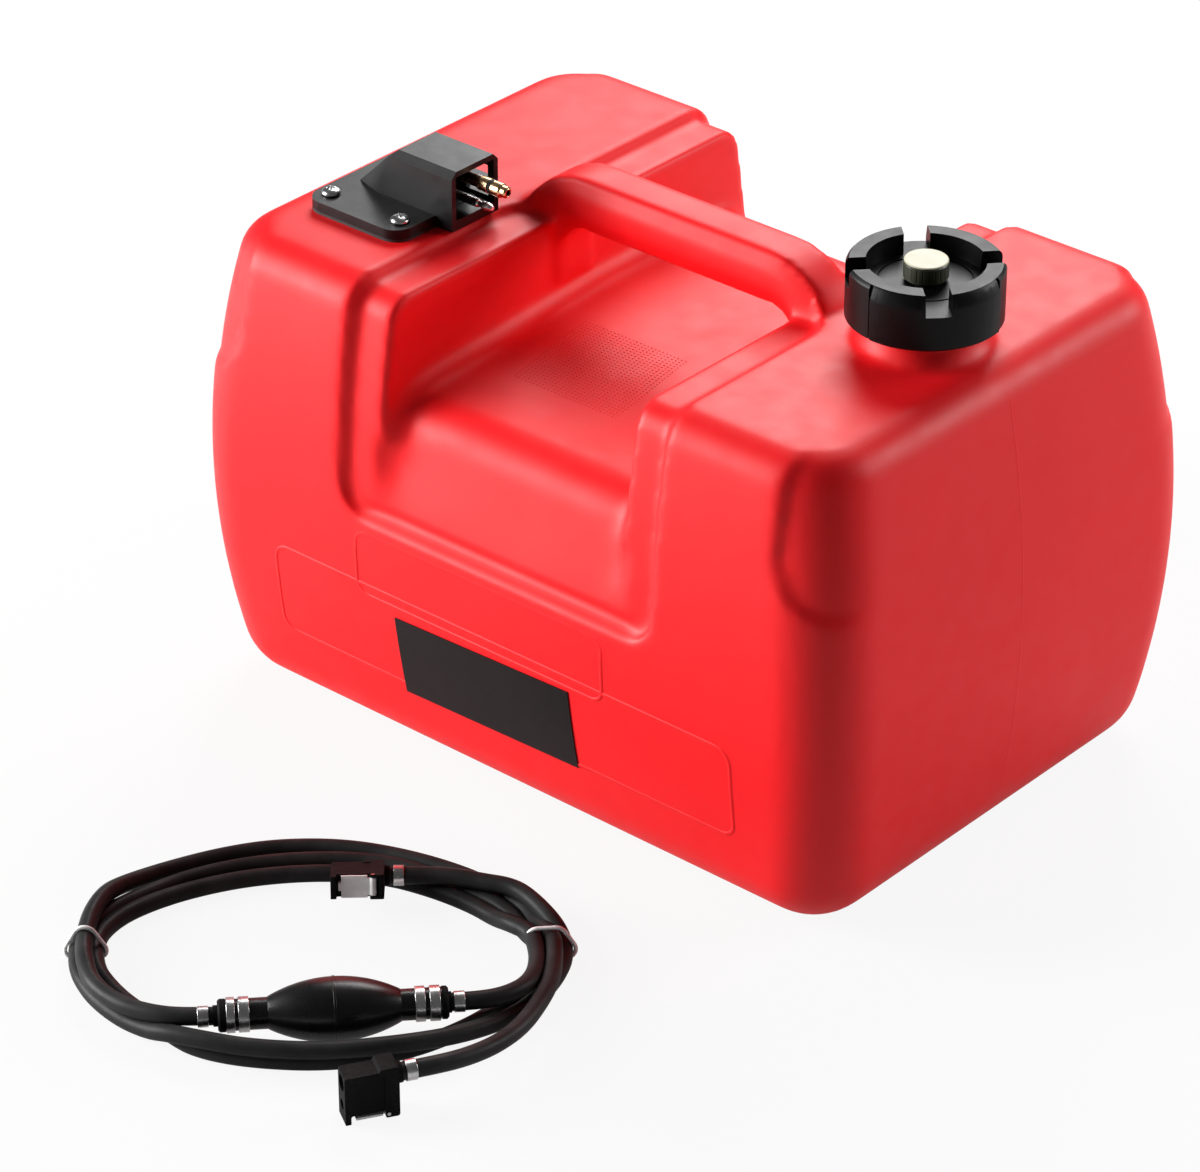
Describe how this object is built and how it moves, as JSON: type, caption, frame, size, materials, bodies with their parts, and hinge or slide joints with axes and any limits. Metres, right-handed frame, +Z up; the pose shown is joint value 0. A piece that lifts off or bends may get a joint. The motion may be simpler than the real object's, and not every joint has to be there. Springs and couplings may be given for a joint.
{
  "type": "portable outboard fuel tank",
  "caption": "Portable fuel tank for an outboard motor with bridge handle, vented filler cap, fuel outlet and a coiled primer hose with quick connectors.",
  "frame": {"origin": "middle of the tank's base, on the floor", "axes": "+X along the tank towards the filler end, -Y towards the front, +Z up"},
  "size_m": [0.36, 0.4695, 0.2578],
  "materials": {
    "tank_red": "glossy moulded polyethylene",
    "cap_black": "satin black",
    "cap_gasket": "matt rubber",
    "vent_knob": "dark olive",
    "vent_disc": "cream",
    "vent_screw": "turned brass",
    "vent_seal": "matt rubber",
    "outlet_housing": "satin black",
    "outlet_gasket": "matt rubber",
    "flange_screws": "plated steel",
    "threaded_inserts": "turned brass",
    "fuel_nipple": "turned brass",
    "nipple_seal": "matt rubber",
    "guide_pin": "turned steel",
    "pickup_tube": "natural plastic",
    "pickup_filter": "fine mesh",
    "hose_coil": "satin rubber",
    "coil_ties": "white ties",
    "primer_bulb": "satin rubber",
    "bulb_inlet_fitting": "satin black",
    "bulb_outlet_fitting": "satin black",
    "inlet_ball": "polished",
    "outlet_ball": "polished",
    "bulb_bands": "bright steel",
    "hose_clamps": "bright steel",
    "latch_pins": "steel",
    "hose_to_connector_a": "satin rubber",
    "hose_to_connector_b": "satin rubber",
    "hose_to_bulb_inlet": "satin rubber",
    "hose_to_bulb_outlet": "satin rubber",
    "connector_a": "satin black",
    "latch_a": "bright steel",
    "shutoff_valve_a": "turned brass",
    "valve_spring_a": "spring steel",
    "connector_b": "satin black",
    "latch_b": "bright steel",
    "shutoff_valve_b": "turned brass",
    "valve_spring_b": "spring steel"
  },
  "bodies": {
    "tank": {"tank_shell": "tank_red", "outlet_housing": "outlet_housing", "outlet_gasket": "outlet_gasket", "flange_screws": "flange_screws", "threaded_inserts": "threaded_inserts", "fuel_nipple": "fuel_nipple", "nipple_seal": "nipple_seal", "guide_pin": "guide_pin", "pickup_tube": "pickup_tube", "pickup_filter": "pickup_filter", "hose_coil": "hose_coil", "coil_ties": "coil_ties", "primer_bulb": "primer_bulb", "bulb_inlet_fitting": "bulb_inlet_fitting", "bulb_outlet_fitting": "bulb_outlet_fitting", "bulb_bands": "bulb_bands", "hose_clamps": "hose_clamps", "latch_pins": "latch_pins", "hose_to_connector_a": "hose_to_connector_a", "hose_to_connector_b": "hose_to_connector_b", "hose_to_bulb_inlet": "hose_to_bulb_inlet", "hose_to_bulb_outlet": "hose_to_bulb_outlet", "connector_a": "connector_a", "valve_spring_a": "valve_spring_a", "connector_b": "connector_b", "valve_spring_b": "valve_spring_b"},
    "cap_carriage": {"cap_gasket": "cap_gasket"},
    "cap": {"filler_cap": "cap_black"},
    "vent_carriage": {"vent_seal": "vent_seal"},
    "vent": {"vent_knob": "vent_knob", "vent_disc": "vent_disc", "vent_screw": "vent_screw"},
    "latch_a": {"latch_a": "latch_a"},
    "latch_b": {"latch_b": "latch_b"},
    "valve_a": {"shutoff_valve_a": "shutoff_valve_a"},
    "valve_b": {"shutoff_valve_b": "shutoff_valve_b"},
    "inlet_ball": {"inlet_ball": "inlet_ball"},
    "outlet_ball": {"outlet_ball": "outlet_ball"}
  },
  "joints": [
    {"name": "cap_turn", "type": "hinge", "parent": "cap_carriage", "child": "cap", "pos_m": [0.124, 0, 0.245], "axis": [0, 0, 1], "range_deg": [0, 900]},
    {"name": "cap_lift", "type": "slide", "parent": "tank", "child": "cap_carriage", "axis": [0, 0, 1], "range_m": [0, 0.0101]},
    {"name": "vent_turn", "type": "hinge", "parent": "vent_carriage", "child": "vent", "pos_m": [0.124, 0, 0.25], "axis": [0, 0, 1], "range_deg": [0, 720]},
    {"name": "vent_lift", "type": "slide", "parent": "cap", "child": "vent_carriage", "axis": [0, 0, 1], "range_m": [0, 0.002]},
    {"name": "latch_a_press", "type": "hinge", "parent": "tank", "child": "latch_a", "pos_m": [0.01562, -0.21749, 0.01604], "axis": [-0.2088, 0.2278, 0.9511], "range_deg": [0, 6], "stiffness_Nm_per_rad": 0.3, "springref_deg": -2.86},
    {"name": "valve_a_open", "type": "slide", "parent": "tank", "child": "valve_a", "axis": [0.7373, 0.6756, 0], "range_m": [0, 0.002], "stiffness_N_per_m": 120, "springref_m": -0.002, "deforming": ["valve_spring_a"]},
    {"name": "latch_b_press", "type": "hinge", "parent": "tank", "child": "latch_b", "pos_m": [0.10941, -0.31035, 0.002], "axis": [0.8572, -0.515, 0], "range_deg": [0, 6], "stiffness_Nm_per_rad": 0.3, "springref_deg": -2.86},
    {"name": "valve_b_open", "type": "slide", "parent": "tank", "child": "valve_b", "axis": [0.515, 0.8572, 0], "range_m": [0, 0.002], "stiffness_N_per_m": 120, "springref_m": -0.002, "deforming": ["valve_spring_b"]},
    {"name": "inlet_ball_lift", "type": "slide", "parent": "tank", "child": "inlet_ball", "axis": [-0.6833, -0.7302, 0], "range_m": [0, 0.002]},
    {"name": "outlet_ball_lift", "type": "slide", "parent": "tank", "child": "outlet_ball", "axis": [-0.6833, -0.7302, 0], "range_m": [0, 0.002]}
  ],
  "couplings": [
    {"joint": "cap_lift", "follows": "cap_turn", "m_per_rad": 0.00063662},
    {"joint": "vent_turn", "follows": "vent_lift", "rad_per_m": 6283}
  ]
}
